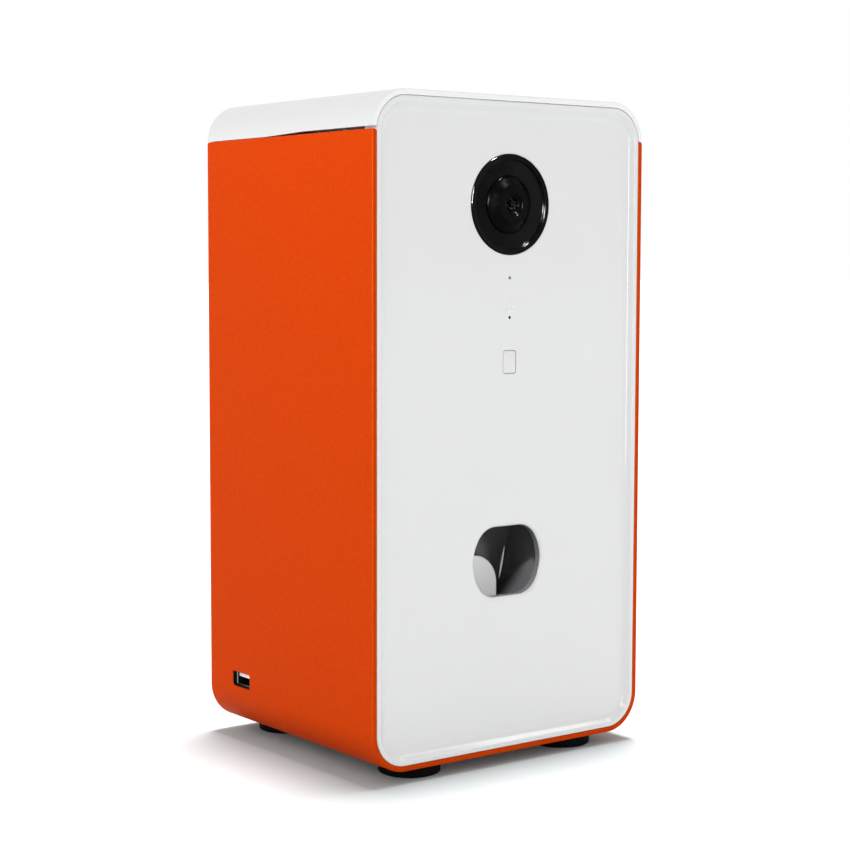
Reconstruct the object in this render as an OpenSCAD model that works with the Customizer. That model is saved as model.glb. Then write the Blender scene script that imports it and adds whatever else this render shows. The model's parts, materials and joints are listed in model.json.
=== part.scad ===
// Treat tossing pet camera, free standing, in millimetres.
// Origin: bottom centre, on the surface that the feet stand on.
// +Z up, the front panel faces -Y, the power port is on the -X side.

/* [Body] */
// Width of the body across the sleeve
body_w = 139; // [138:0.5:140]
// Depth of the body from the front rim to the rear edge
body_d = 121; // [120.5:0.5:122]
// Height of the body without its feet
body_h = 265; // [264:0.5:266]
// Outer radius of the four long corners, seen from the front
corner_r = 16; // [15.5:0.25:16.5]
// Wall of the coloured sleeve
sleeve_t = 2.1; // [2:0.05:2.3]
// Height of the seam between sleeve and lid above the underside of the body
seam_h = 249.5; // [249.3:0.1:250]

/* [Lid] */
// Wall of the lid over its top
lid_t = 2.3; // [2.2:0.05:2.5]
// Gap between the lid and the top edge of the front panel
lid_gap = 0.5; // [0.4:0.05:0.6]
// Depth of the finger relief in the lid's lower left edge
relief_h = 0.9; // [0.6:0.1:1.2]
// Length of that finger relief from the front edge, its last 27 mm running out
relief_l = 75; // [65:1:80]

/* [Front panel] */
// Depth of the dished field below the rim
dish_depth = 2.4; // [2.2:0.1:2.6]
// Width of the flat rim round the field
rim_w = 1.8; // [1.6:0.1:2]
// Thickness of the panel behind the field
panel_t = 2.5; // [2.3:0.1:2.5]

/* [Camera] */
// Height of the lens axis above the underside of the body
cam_h = 222; // [220:0.5:223]
// Diameter of the black bezel
bezel_d = 40; // [39:0.5:40.5]
// Diameter of the barrel's front
barrel_d = 15.2; // [14.6:0.2:15.8]
// Diameter of the lens element
lens_d = 6; // [5.6:0.1:6.2]

/* [Button and lights] */
// Width of the button
button_w = 6.6; // [6.6:0.1:7.4]
// Height of the button
button_h = 9.3; // [9:0.1:9.6]
// Height of the button's centre above the underside of the body
button_z = 159; // [159:0.2:160]
// Travel of the button
button_travel = 0.5; // [0.3:0.1:0.5]
// Height of the status light above the underside of the body
light_z = 176.9; // [176.5:0.1:178]
// Height of the microphone hole above the underside of the body
mic_z = 192.8; // [192:0.1:193.5]

/* [Outlet and launcher] */
// Height of the outlet's centre above the underside of the body
outlet_h = 78.2; // [78:0.2:79.2]
// Radius of the outlet's round sides
outlet_r = 17.8; // [17.4:0.1:18]
// Half height between the outlet's flat top and bottom
outlet_half = 14.6; // [14.4:0.1:15]
// Slope of the launching trough in degrees
trough_a = 28.7; // [28:0.1:29.5]
// Radius of the launching trough
trough_r = 20; // [19.8:0.1:20.2]
// Half width of the launching paddle
paddle_r = 12.5; // [12:0.1:12.8]
// Height of the paddle's round end above the floor surface
paddle_z = 70; // [69.5:0.1:70.2]

/* [Hopper and metering] */
// Outer width of the treat hopper
hopper_w = 116; // [114:1:116]
// Wall of the treat hopper
hopper_t = 2; // [1.8:0.1:2.2]
// Radius of the metering wheel
rotor_r = 37.6; // [37:0.1:37.7]
// Height of the metering wheel's vanes
rotor_h = 13; // [12:0.5:13]
// Number of vanes on the metering wheel
vanes = 6; // [6]
// Radius of the drop hole
drop_r = 10.5; // [10:0.1:10.5]

/* [Power port] */
// Width of the port's opening in the sleeve
port_w = 13.6; // [13.4:0.1:13.8]
// Height of the port's opening in the sleeve
port_h = 6.3; // [6.2:0.1:6.6]

/* [Feet] */
// Height of the feet
foot_h = 5; // [5]
// Diameter of the feet
foot_d = 25.2; // [24:0.2:26]

/* [Hidden] */
$fn = 96;
eps = 0.01;
xo = body_w / 2;
yf = -body_d / 2;
yr = body_d / 2;
zb = foot_h;
zt = foot_h + body_h;
zs = zb + seam_h;
xi = xo - sleeve_t;
zi = zb + sleeve_t;
// outline of the front panel and the rear cover
px = xi - 0.15;
pz0 = zi + 0.15;
pz1 = zt - lid_t - lid_gap;
pr = corner_r - sleeve_t - 0.15;
yfield = yf + dish_depth;
yback = yfield + panel_t;
zcam = zb + cam_h;
zout = zb + outlet_h;
zbut = zb + button_z;
zled = zb + light_z;
zmic = zb + mic_z;
foot_x = 40;
foot_y = 44.8;
screw_x = 56;
screw_z = [40, 130, 236];
// metering wheel axis and drop hole
rc = 5.5;
drop_y = rc - 25;
// launching paddle pivot
py = -34.4;
pz = 46;
// module, teeth and centre distances of the two gear pairs
gm = 0.8;
n_gear = 40;
n_win = 15;
n_rot = 30;
n_pin = 15;
cd_w = gm * (n_gear + n_win) / 2;
cd_r = gm * (n_rot + n_pin) / 2;
wa = -20;
wy = py + cd_w * cos(wa);
wz = pz + cd_w * sin(wa);
port_y = 36;
port_z = 26.3;

WHITE = [0.93, 0.93, 0.925];
ORANGE = [0.89, 0.29, 0.03];
BLACK = [0.03, 0.03, 0.035];
DARK = [0.17, 0.17, 0.18];
MID = [0.45, 0.46, 0.48];
PALE = [0.72, 0.72, 0.72];
STEEL = [0.72, 0.73, 0.75];
BRASS = [0.8, 0.65, 0.3];
BOARD = [0.05, 0.3, 0.16];

// ---- shared shapes -------------------------------------------------------

// plane shape in (x, z), drawn out along y from y0 to y1
module ext_y(y0, y1) translate([0, y1, 0]) rotate([90, 0, 0])
  linear_extrude(y1 - y0) children();
// plane shape in (y, z), drawn out along x from x0 to x1
module ext_x(x0, x1) translate([x0, 0, 0]) rotate([90, 0, 90])
  linear_extrude(x1 - x0) children();
// rectangle with round corners
module rrect(x0, x1, z0, z1, r) {
  translate([x0 + r, z0]) square([x1 - x0 - 2 * r, z1 - z0]);
  translate([x0, z0 + r]) square([x1 - x0, z1 - z0 - 2 * r]);
  for (x = [x0 + r, x1 - r], z = [z0 + r, z1 - r]) translate([x, z]) circle(r);
}
module box(a, b) translate(a) cube([b[0] - a[0], b[1] - a[1], b[2] - a[2]]);
module cyl_y(x, z, y0, y1, r) translate([x, y1, z]) rotate([90, 0, 0]) cylinder(h = y1 - y0, r = r);
module cyl_x(y, z, x0, x1, r) translate([x0, y, z]) rotate([0, 90, 0]) cylinder(h = x1 - x0, r = r);
// body of revolution about an axis along y; points are (radius, y)
module turn_y(x, z, pts) translate([x, 0, z]) rotate([90, 0, 0])
  rotate_extrude() polygon([for (p = pts) [p[0], -p[1]]]);
// a border of one section swept round a rectangle with round corners;
// section points are (distance in from the outline, y)
module border(x0, x1, z0, z1, r, s) {
  ext_x(x0 + r, x1 - r) polygon([for (p = s) [p[1], z1 - p[0]]]);
  ext_x(x0 + r, x1 - r) polygon([for (p = s) [p[1], z0 + p[0]]]);
  for (i = [0, 1]) translate([0, 0, z0 + r]) linear_extrude(z1 - z0 - 2 * r)
    polygon([for (p = s) [i == 0 ? x0 + p[0] : x1 - p[0], p[1]]]);
  for (c = [[x1 - r, z1 - r, 0], [x0 + r, z1 - r, 90], [x0 + r, z0 + r, 180], [x1 - r, z0 + r, 270]])
    translate([c[0], 0, c[1]]) rotate([90, 0, 0]) rotate([0, 0, c[2]])
      rotate_extrude(angle = 90) polygon([for (p = s) [r - p[0], -p[1]]]);
}
// spur gear outline with involute flanks; bl is the flank clearance
function inv_a(rho, rb) = rho <= rb ? 0 : let (t = sqrt(pow(rho / rb, 2) - 1)) t * 180 / PI - atan(t);
function gear_pts(n, m, bl = 0.08) = let (
    r = n * m / 2, rb = r * cos(20), ra = r + m, rf = r - 1.25 * m,
    half = 90 / n - bl / r * 180 / PI, ip = inv_a(r, rb),
    rr = [for (k = [0:4]) max(rf, rb) + (ra - max(rf, rb)) * k / 4])
  [for (i = [0:n - 1]) let (a = i * 360 / n) each concat(
      [let (f = half + ip) [rf * cos(a - f), rf * sin(a - f)]],
      [for (k = [0:4]) let (f = half + ip - inv_a(rr[k], rb)) [rr[k] * cos(a - f), rr[k] * sin(a - f)]],
      [for (k = [4:-1:0]) let (f = half + ip - inv_a(rr[k], rb)) [rr[k] * cos(a + f), rr[k] * sin(a + f)]],
      [let (f = half + ip) [rf * cos(a + f), rf * sin(a + f)]])];

// ---- casing --------------------------------------------------------------

module outer_sleeve() color(ORANGE) difference() {
  ext_y(yf, yr) difference() {
    intersection() {
      rrect(-xo, xo, zb, zt, corner_r);
      translate([-xo - 1, 0]) square([2 * xo + 2, zs - 0.2]);
    }
    rrect(-xi, xi, zi, zt + 20, corner_r - sleeve_t);
  }
  // power port opening in the left wall
  ext_x(-xo - 1, -xi + 1) rrect(port_y - port_w / 2, port_y + port_w / 2, port_z - port_h / 2, port_z + port_h / 2, 1);
  for (x = [-foot_x, foot_x], y = [-foot_y, foot_y]) translate([x, y, zb - 1]) cylinder(h = 5, r = 1.7);
}

module top_lid() color(WHITE) {
  difference() {
    ext_y(yf, yr) difference() {
      intersection() {
        rrect(-xo, xo, zb, zt, corner_r);
        translate([-xo - 1, zs]) square([2 * xo + 2, 60]);
      }
      rrect(-xi, xi, zi, zt - lid_t, corner_r - sleeve_t);
    }
    ext_x(-xo - 2, -xi + 2)
      polygon([[yf - 1, zs - 1], [yf - 1, zs + relief_h], [yf + relief_l - 27, zs + relief_h], [yf + relief_l, zs], [yf + relief_l, zs - 1]]);
  }
  // plug that drops into the hopper's mouth
  difference() {
    translate([0, 0, 246]) linear_extrude(zt - lid_t - 246) difference() {
      rrect(-hopper_w / 2 + 2.8, hopper_w / 2 - 2.8, -31.2, 42.2, 6);
      rrect(-hopper_w / 2 + 4.8, hopper_w / 2 - 4.8, -29.2, 40.2, 4);
    }
    // groove for the seal
    translate([0, 0, 248]) linear_extrude(2.4) difference() {
      rrect(-hopper_w / 2, hopper_w / 2, -34, 45, 8);
      rrect(-hopper_w / 2 + 3.6, hopper_w / 2 - 3.6, -30.4, 41.4, 5.2);
    }
  }
}

module lid_seal() color([0.8, 0.8, 0.8]) translate([0, 0, 248.1]) linear_extrude(2.2) difference() {
  rrect(-hopper_w / 2 + 2.15, hopper_w / 2 - 2.15, -31.85, 42.85, 6.6);
  rrect(-hopper_w / 2 + 3.6, hopper_w / 2 - 3.6, -30.4, 41.4, 5.2);
}

// round opening with a flat top and bottom, blended into the sides
module outlet_outline() translate([0, zout]) {
  bz = outlet_half - 10.5;
  bx = sqrt(pow(outlet_r - 10.5, 2) - bz * bz);
  translate([-bx, -outlet_half]) square([2 * bx, 2 * outlet_half]);
  for (s = [-1, 1], t = [-1, 1]) translate([s * bx, t * bz]) circle(10.5);
  for (s = [-1, 1]) intersection() {
    circle(outlet_r);
    polygon([[0, 0], [s * 40, -40 * bz / bx], [s * 40, 40 * bz / bx]]);
  }
}

module front_panel() color(WHITE) difference() {
  union() {
    border(-px, px, pz0, pz1, pr, [[0, yf], [rim_w, yf], [rim_w + 0.35, yf + 0.75], [rim_w + 1, yf + 1.4],
      [rim_w + 2.2, yf + 1.95], [rim_w + 3.6, yf + 2.27], [rim_w + 5, yfield], [rim_w + 5, yback], [2, yback], [2, -52], [0, -52]]);
    ext_y(yfield, yback) rrect(-px + rim_w + 5, px - rim_w - 5, pz0 + rim_w + 5, pz1 - rim_w - 5, pr - rim_w - 5);
    for (x = [-screw_x, screw_x], z = screw_z) cyl_y(x, z, yback, -50, 3.5);
  }
  for (x = [-screw_x, screw_x], z = screw_z) cyl_y(x, z, yback + 1, -49, 1.2);
  cyl_y(0, zcam, yf - 1, -50, bezel_d / 2 + 0.1);
  cyl_y(0, zmic, yf - 1, -50, 0.65);
  cyl_y(0, zled, yf - 1, -50, 0.65);
  ext_y(yf - 1, -50) rrect(-button_w / 2 - 0.15, button_w / 2 + 0.15, zbut - button_h / 2 - 0.15, zbut + button_h / 2 + 0.15, 1.3);
  ext_y(yf - 1, -50) outlet_outline();
  // two shallow arcs over the status light
  for (r = [2.6, 4.7]) translate([0, 0, zled]) rotate([90, 0, 0]) rotate([0, 0, 45])
    rotate_extrude(angle = 90) translate([r - 0.3, -yfield - 0.2]) square([0.6, 1]);
}

module rear_cover() color(WHITE) difference() {
  union() {
    ext_y(57.3, 59.5) rrect(-px, px, pz0, pz1, pr);
    border(-px, px, pz0, pz1, pr, [[0, 57.3], [2, 57.3], [2, 51.6], [0, 51.6]]);
    for (x = [-screw_x, screw_x], z = screw_z) cyl_y(x, z, 49, 57.3, 4);
  }
  for (x = [-screw_x, screw_x], z = screw_z) {
    cyl_y(x, z, 48, 60, 1.7);
    cyl_y(x, z, 54, 61, 3.2);
  }
  // sound holes in front of the speaker
  cyl_y(0, 60, 56, 61, 1.4);
  for (k = [0:5]) cyl_y(5.5 * cos(k * 60), 60 + 5.5 * sin(k * 60), 56, 61, 1.4);
  for (k = [0:11]) cyl_y(11 * cos(k * 30), 60 + 11 * sin(k * 30), 56, 61, 1.4);
  // air slots
  for (k = [0:5]) ext_y(56, 61) rrect(-20, 20, 196 + k * 6, 198 + k * 6, 0.99);
}

// ---- frame ---------------------------------------------------------------

module base_plate() color(MID) difference() {
  translate([0, 0, 7.2]) linear_extrude(2.5) rrect(-54, 54, -51, 50, 5);
  for (x = [-foot_x, foot_x], y = [-foot_y, foot_y]) translate([x, y, 5]) cylinder(h = 8, r = 1.2);
  translate([0, 0, 5]) linear_extrude(8) rrect(-14, 14, -10, 34, 4);
}

module frame_side(s) difference() {
  union() {
    box([s < 0 ? -63 : 61, -50, 14], [s < 0 ? -61 : 63, 49, 250]);
    box([s < 0 ? -61 : 50, -50, 14], [s < 0 ? -50 : 61, -48, 246]);
    box([s < 0 ? -61 : 50, 47, 14], [s < 0 ? -50 : 61, 49, 246]);
    box([s < 0 ? -61 : 50, -50, 9.7], [s < 0 ? -52 : 59, 49, 14]);
    box([s < 0 ? -61.5 : 50, -50, 13.9], [s < 0 ? -52 : 61.5, 49, 16]);
  }
  for (z = screw_z) {
    cyl_y(s * screw_x, z, -52, -40, 1.7);
    cyl_y(s * screw_x, z, 40, 52, 1.2);
  }
  // lightening window
  ext_x(s < 0 ? -64 : 60.5, s < 0 ? -60.5 : 64) rrect(-10, 34, 155, 240, 6);
  // the base block is hollow
  box([s < 0 ? -57 : 52, -45, 9], [s < 0 ? -54.5 : 57, 44, 13]);
}
module frame_left() color(MID) difference() {
  frame_side(-1);
  ext_x(-64, -49) rrect(23, 46, 17.5, 33.5, 2);
}
module frame_right() color(MID) frame_side(1);

module motor_deck() color(MID) difference() {
  box([-61, -4, 113], [61, 46.5, 115.5]);
  translate([0, rc, 110]) cylinder(h = 10, r = 2.55);
  translate([0, rc + cd_r, 110]) cylinder(h = 10, r = 4);
  for (s = [-1, 1]) translate([s * 8.5, rc + cd_r, 110]) cylinder(h = 10, r = 1.3);
}

// ---- hopper and metering wheel -------------------------------------------

module treat_hopper() color([0.86, 0.86, 0.86]) difference() {
  union() {
    translate([0, 0, 190]) linear_extrude(60) rrect(-hopper_w / 2, hopper_w / 2, -34, 45, 8);
    translate([0, 0, 250]) linear_extrude(2) rrect(-64.9, 64.9, -51.8, 51.3, 6);
    intersection() {
      translate([0, 0, 150]) linear_extrude(40) rrect(-hopper_w / 2, hopper_w / 2, -34, 45, 8);
      translate([0, rc, 150]) cylinder(h = 40, r1 = 40.4, r2 = 71.4, $fn = 128);
    }
    translate([0, rc, 146]) cylinder(h = 4, r = 39.4);
  }
  translate([0, 0, 190]) linear_extrude(70) rrect(-hopper_w / 2 + hopper_t, hopper_w / 2 - hopper_t, -34 + hopper_t, 45 - hopper_t, 6);
  intersection() {
    translate([0, 0, 150]) linear_extrude(41) rrect(-hopper_w / 2 + hopper_t, hopper_w / 2 - hopper_t, -34 + hopper_t, 45 - hopper_t, 6);
    translate([0, rc, 150]) cylinder(h = 40, r1 = 38, r2 = 69, $fn = 128);
  }
  translate([0, rc, 145]) cylinder(h = 5.01, r = 38);
}

module metering_shield() color([0.86, 0.86, 0.86]) difference() {
  intersection() {
    translate([0, rc, 146.1]) cylinder(h = 1.8, r = 37.9);
    translate([0, rc, 146.1]) linear_extrude(1.8) polygon([[0, 0], [-36, -50], [36, -50]]);
  }
  translate([0, rc, 145]) cylinder(h = 4, r = 8.5);
}

module metering_tray() color([0.86, 0.86, 0.86]) difference() {
  union() {
    translate([0, rc, 128]) cylinder(h = 18, r = 40.3);
    box([-61, -10, 128], [61, 21, 130]);
  }
  translate([0, rc, 130]) cylinder(h = 20, r = 38.3);
  translate([0, drop_y, 120]) cylinder(h = 20, r = drop_r);
  translate([0, rc, 120]) cylinder(h = 20, r = 4.5);
  for (s = [-1, 1]) translate([s * 54, rc, 120]) cylinder(h = 20, r = 1.7);
}

module metering_rotor() color([0.92, 0.55, 0.12]) difference() {
  union() {
    translate([0, rc, 130.6]) cylinder(h = rotor_h, r = 7);
    translate([0, rc, 130.6 + rotor_h]) cylinder(h = 4.6, r1 = 7, r2 = 4);
    for (k = [0:vanes - 1]) translate([0, rc, 130.6]) rotate([0, 0, k * 360 / vanes])
      translate([0, -1.2, 0]) cube([rotor_r, 2.4, rotor_h]);
  }
  translate([0, rc, 130]) cylinder(h = 12, r = 2.5);
}

module rotor_shaft() color(STEEL) translate([0, rc, 113.4]) cylinder(h = 28.6, r = 2.5);

module rotor_bush() color(BRASS) translate([0, rc, 0]) rotate_extrude()
  polygon([[2.55, 126.6], [6.5, 126.6], [6.5, 128], [4.5, 128], [4.5, 130.4], [2.55, 130.4]]);

module rotor_gear() color([0.9, 0.88, 0.8]) difference() {
  union() {
    translate([0, rc, 118.5]) rotate([0, 0, 90]) linear_extrude(6) polygon(gear_pts(n_rot, gm));
    translate([0, rc, 116]) cylinder(h = 10, r = 5);
  }
  translate([0, rc, 110]) cylinder(h = 20, r = 2.5);
}

module rotor_motor() color(STEEL) difference() {
  union() {
    translate([0, rc + cd_r, 94]) cylinder(h = 19, r = 12);
    translate([0, rc + cd_r, 74]) cylinder(h = 20, r = 9.8);
    for (s = [-1, 1]) translate([s * 8.5, rc + cd_r, 113]) cylinder(h = 2.5, r = 1.3);
  }
  translate([0, rc + cd_r, 104]) cylinder(h = 12, r = 1.55);
}

module rotor_pinion() color(BRASS) {
  translate([0, rc + cd_r, 118.7]) rotate([0, 0, -78]) linear_extrude(5.6) polygon(gear_pts(n_pin, gm));
  translate([0, rc + cd_r, 105]) cylinder(h = 20, r = 1.5);
}

module drop_chute() color(DARK) difference() {
  union() {
    ext_x(-12.3, 12.3) polygon([[-31.5, 128], [-7.9, 128], [-7.9, 121], [-33, 98.5], [-52, 98.5], [-51.5, 101.5], [-31.5, 121.6]]);
    box([-23.5, -55.3, 98.1], [23.5, -31, 99.6]);
  }
  ext_x(-10.8, 10.8) polygon([[-30, 129], [-9.4, 129], [-9.4, 121.8], [-35, 99.4], [-35, 97], [-50, 97], [-50, 100.8], [-30, 121]]);
}

// ---- launcher ------------------------------------------------------------

// front face of the chamber's leaning back wall, as y for a height z
function wall_y(z) = -27.6 - 0.252 * (z - 69.9);
module trough_section(g = 0) {
  circle(trough_r + g);
  polygon([[-trough_r - g, 0], [trough_r + g, 0], [trough_r + g + 0.9, 2.2], [trough_r + g + 0.9, 60],
    [-trough_r - g - 0.9, 60], [-trough_r - g - 0.9, 2.2]]);
}
module trough(g = 0) translate([0, -28, 68.2]) rotate([90 - trough_a, 0, 0])
  translate([0, 0, -24]) linear_extrude(66) trough_section(g);

module launch_chamber() color(DARK) difference() {
  union() {
    difference() {
      intersection() {
        trough(2);
        ext_x(-23.5, 23.5) polygon([[-55.4, 47.6], [wall_y(47.6) + 2.1, 47.6], [wall_y(98) + 2.1, 98], [-55.4, 98]]);
      }
      intersection() {
        trough();
        ext_x(-24, 24) polygon([[-56, 30], [wall_y(30), 30], [wall_y(99), 99], [-56, 99]]);
      }
    }
    // cheeks that carry the paddle's shaft and the motor, with legs to the base
    for (s = [-1, 1]) ext_x(s < 0 ? -23.5 : 21.6, s < 0 ? -21.6 : 23.5)
      polygon([[-52, 9.7], [-45, 9.7], [-41, 26], [-10, 26], [-6, 9.7], [0, 9.7], [0, 50], [-19, 62], [-50, 62]]);
  }
  // slot that the paddle swings through
  ext_y(-39.4, -8) {
    translate([-13.1, 30]) square([26.2, 40.1]);
    translate([0, 70.1]) circle(13.1);
  }
  cyl_x(py, pz, -25, 25, 2.05);
  cyl_x(wy, wz, 20, 25, 3.5);
}

module paddle_cover() color(DARK) difference() {
  ext_x(-17, 17) polygon([[wall_y(90) + 2.15, 90], [wall_y(50) + 2.15, 50], [-1, 50], [-1, 78], [-10, 90]]);
  ext_x(-15.4, 15.4) polygon([[-45, 88.4], [-10.7, 88.4], [-2.6, 77.4], [-2.6, 49], [-45, 49]]);
}

module launch_paddle() color(PALE) difference() {
  union() {
    ext_y(py - 1.1, py + 1.1) {
      translate([-paddle_r, pz]) square([2 * paddle_r, paddle_z - pz]);
      translate([0, paddle_z]) circle(paddle_r);
    }
    cyl_x(py, pz, -12.5, 12.5, 4.5);
    ext_x(-1, 1) polygon([[py, pz], [py + 4.4, pz], [py + 1, pz + 24], [py, pz + 24]]);
  }
  cyl_x(py, pz, -13, 13, 2);
}

module paddle_shaft() color(STEEL) cyl_x(py, pz, -26, 30, 2);

module paddle_gear() color([0.9, 0.88, 0.8]) difference() {
  union() {
    translate([24.5, py, pz]) rotate([90, 0, 90]) rotate([0, 0, wa]) linear_extrude(4) polygon(gear_pts(n_gear, gm));
    cyl_x(py, pz, 23.9, 29.6, 4.5);
  }
  cyl_x(py, pz, 20, 35, 2);
  for (k = [0:5]) cyl_x(py + 9.8 * cos(k * 60 + 10), pz + 9.8 * sin(k * 60 + 10), 20, 35, 2.8);
}

// coil of round wire about the paddle's shaft, ends along the shaft
SPR_N = 56;
function spr(k) = let (a = k * 360 / 14, q = k / SPR_N) [-20.2 + 6 * q, py + 3.5 * cos(a), pz + 3.5 * sin(a)];
module paddle_spring() color(STEEL) {
  wr = 0.4;
  pts = [for (k = [0:SPR_N], j = [0:7]) let (a = k * 360 / 14, b = j * 45, c = spr(k))
    [c[0] + wr * sin(b), c[1] + wr * cos(b) * cos(a), c[2] + wr * cos(b) * sin(a)]];
  faces = concat(
    [for (k = [0:SPR_N - 1], j = [0:7]) [k * 8 + j, k * 8 + (j + 1) % 8, (k + 1) * 8 + (j + 1) % 8]],
    [for (k = [0:SPR_N - 1], j = [0:7]) [k * 8 + j, (k + 1) * 8 + (j + 1) % 8, (k + 1) * 8 + j]],
    [[for (j = [7:-1:0]) j]], [[for (j = [0:7]) SPR_N * 8 + j]]);
  polyhedron(points = pts, faces = faces);
}

module shaft_clips() color(STEEL) {
  difference() {
    cyl_x(py, pz, -25.2, -24.4, 4);
    cyl_x(py, pz, -27, -22, 2);
    box([-27, py - 1.2, pz - 6], [-22, py + 1.2, pz]);
  }
}

module launch_motor() color(STEEL) difference() {
  union() {
    cyl_x(wy, wz, 4, 21.5, 10);
    cyl_x(wy, wz, -12, 4, 7.8);
  }
  cyl_x(wy, wz, 12, 22, 1.55);
}

module winder_pinion() color(BRASS) {
  translate([24.7, wy, wz]) rotate([90, 0, 90]) rotate([0, 0, 160 + 12]) linear_extrude(3.6) polygon(gear_pts(n_win, gm));
  cyl_x(wy, wz, 13, 29, 1.5);
}

// ---- camera --------------------------------------------------------------

module camera_bezel() color(BLACK) turn_y(0, zcam, [[11.6, -54], [22.5, -54], [22.5, yback + 0.1], [bezel_d / 2, yback + 0.1],
  [bezel_d / 2, yfield - 0.1], [bezel_d / 2 - 0.5, yfield - 0.5], [18, yfield - 0.5], [17.6, yfield + 0.7], [11.6, yfield + 1]]);

module camera_barrel() color(BLACK) turn_y(0, zcam, [[lens_d / 2 + 0.05, -58.9], [4.45, -60.1], [barrel_d / 2 - 0.4, -60.2],
  [barrel_d / 2, -59.8], [10.75, -58.15], [11.4, -57.2], [11.4, -50], [lens_d / 2 + 0.05, -50]]);

module camera_lens() color([0.1, 0.12, 0.2, 0.6]) turn_y(0, zcam, [[0, -59.5], [1.2, -59.4], [2.2, -59.1], [lens_d / 2, -58.7],
  [lens_d / 2, -55], [0, -55]]);

module camera_board() color(BOARD) {
  box([-18, -49.9, zcam - 17], [18, -48.5, zcam + 17]);
  box([-9, -48.5, zcam - 15.5], [9, -47.7, zcam - 10.5]);
}

module camera_ribbon() color([0.85, 0.75, 0.45]) {
  box([-59.6, -47.6, 206], [-5, -47.4, 214]);
  box([-59.6, -47.6, 206], [-59.4, -20, 214]);
  box([-59.6, -28, 106.1], [-59.4, -20, 214]);
}

// ---- button, light and microphone ----------------------------------------

module pairing_button() color(WHITE) {
  ext_y(yfield - 0.15, yback + 0.2) rrect(-button_w / 2, button_w / 2, zbut - button_h / 2, zbut + button_h / 2, 1.2);
  ext_y(yback + 0.2, yback + 1.1) rrect(-button_w / 2 - 1.2, button_w / 2 + 1.2, zbut - button_h / 2 - 1.2, zbut + button_h / 2 + 1.2, 2);
}

module tact_switch() color([0.1, 0.1, 0.1]) {
  box([-3, -53.1, zbut - 3], [3, -50, zbut + 3]);
  cyl_y(0, zbut, -53.9, -53.1, 1.6);
}

module front_board() color(BOARD) box([-12, -50, 152], [12, -48.5, 205]);

module status_led() color([0.9, 0.9, 0.85]) box([-1.2, -51.2, zled - 1], [1.2, -50, zled + 1]);

module light_pipe() color([0.85, 0.9, 0.95, 0.6]) turn_y(0, zled, [[0, yfield + 0.05], [0.62, yfield + 0.05], [0.62, -55.4], [1.8, -55.4], [1.8, -54.6], [1, -54.4], [1, -51.3], [0, -51.3]]);

module microphone() color(STEEL) difference() {
  cyl_y(0, zmic, -52.5, -50, 3);
  cyl_y(0, zmic, -53, -51.5, 0.5);
}

// ---- electronics ---------------------------------------------------------

module main_board() color(BOARD) {
  difference() {
    box([-60.9, -30, 36], [-59.9, 40, 112]);
    for (y = [-26, 36], z = [40, 92]) cyl_x(y, z, -62, -58, 1.6);
  }
  box([-59.9, -28.5, 98], [-58.6, -19.5, 106]);
  box([-59.9, 5, 50], [-58.3, 17, 62]);
  box([-59.9, 22, 66], [-55, 30, 70]);
  box([-59.9, -14, 44], [-54, -6, 50]);
  for (y = [-6, 28]) cyl_x(y, 78, -59.9, -52, 3);
}

module wifi_module() color(STEEL) box([-59.9, 2, 84], [-57.4, 18, 104]);

module speaker() color([0.12, 0.12, 0.12]) turn_y(0, 60, [[0, 44], [8, 44], [8, 49], [16, 54.2], [18, 54.2], [18, 57.2], [16.4, 57.2], [14.5, 56], [4, 54.6], [0, 54]]);

module usb_shell() color(STEEL) difference() {
  box([-67.2, port_y - 6.55, port_z - 2.8], [-53.2, port_y + 6.55, port_z + 2.9]);
  box([-68, port_y - 6.2, port_z - 2.45], [-53.6, port_y + 6.2, port_z + 2.55]);
}
module usb_tongue() color(WHITE) box([-66.8, port_y - 5.55, port_z + 0.75], [-53.6, port_y + 5.55, port_z + 2.4]);
module usb_board() color(BOARD) box([-66.4, port_y - 12, port_z - 4.5], [-50.5, port_y + 9, port_z - 2.9]);

// ---- feet and fasteners --------------------------------------------------

module foot() difference() {
  rotate_extrude() polygon([[0, 0], [foot_d / 2 - 0.7, 0], [foot_d / 2, 0.8], [foot_d / 2, foot_h - 0.4], [foot_d / 2 - 0.5, foot_h], [0, foot_h]]);
  translate([0, 0, -1]) cylinder(h = 3.6, r = 4.5);
  translate([0, 0, -1]) cylinder(h = 8, r = 1.7);
}
module rubber_feet() color(BLACK) for (x = [-foot_x, foot_x], y = [-foot_y, foot_y]) translate([x, y, 0]) foot();
module foot_screws() color(STEEL) for (x = [-foot_x, foot_x], y = [-foot_y, foot_y]) translate([x, y, 0]) difference() {
  union() {
    translate([0, 0, 0.9]) cylinder(h = 1.7, r = 2.9);
    translate([0, 0, 2.6]) cylinder(h = 7.6, r = 1.2);
  }
  for (a = [0, 90]) rotate([0, 0, a]) translate([-1.6, -0.25, 0.4]) cube([3.2, 0.5, 1.4]);
}
module panel_screws() color(STEEL) for (x = [-screw_x, screw_x], z = screw_z) difference() {
  union() {
    cyl_y(x, z, -48, -46.2, 2.8);
    cyl_y(x, z, -54, -48, 1.2);
  }
  for (a = [0, 90]) translate([x, -46.2, z]) rotate([0, a, 0]) cube([3.2, 1.8, 0.5], center = true);
}
module rear_screws() color(STEEL) for (x = [-screw_x, screw_x], z = screw_z) difference() {
  union() {
    cyl_y(x, z, 54, 55.8, 2.8);
    cyl_y(x, z, 45.5, 54, 1.2);
  }
  for (a = [0, 90]) translate([x, 55.8, z]) rotate([0, a, 0]) cube([3.2, 1.8, 0.5], center = true);
}

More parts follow.
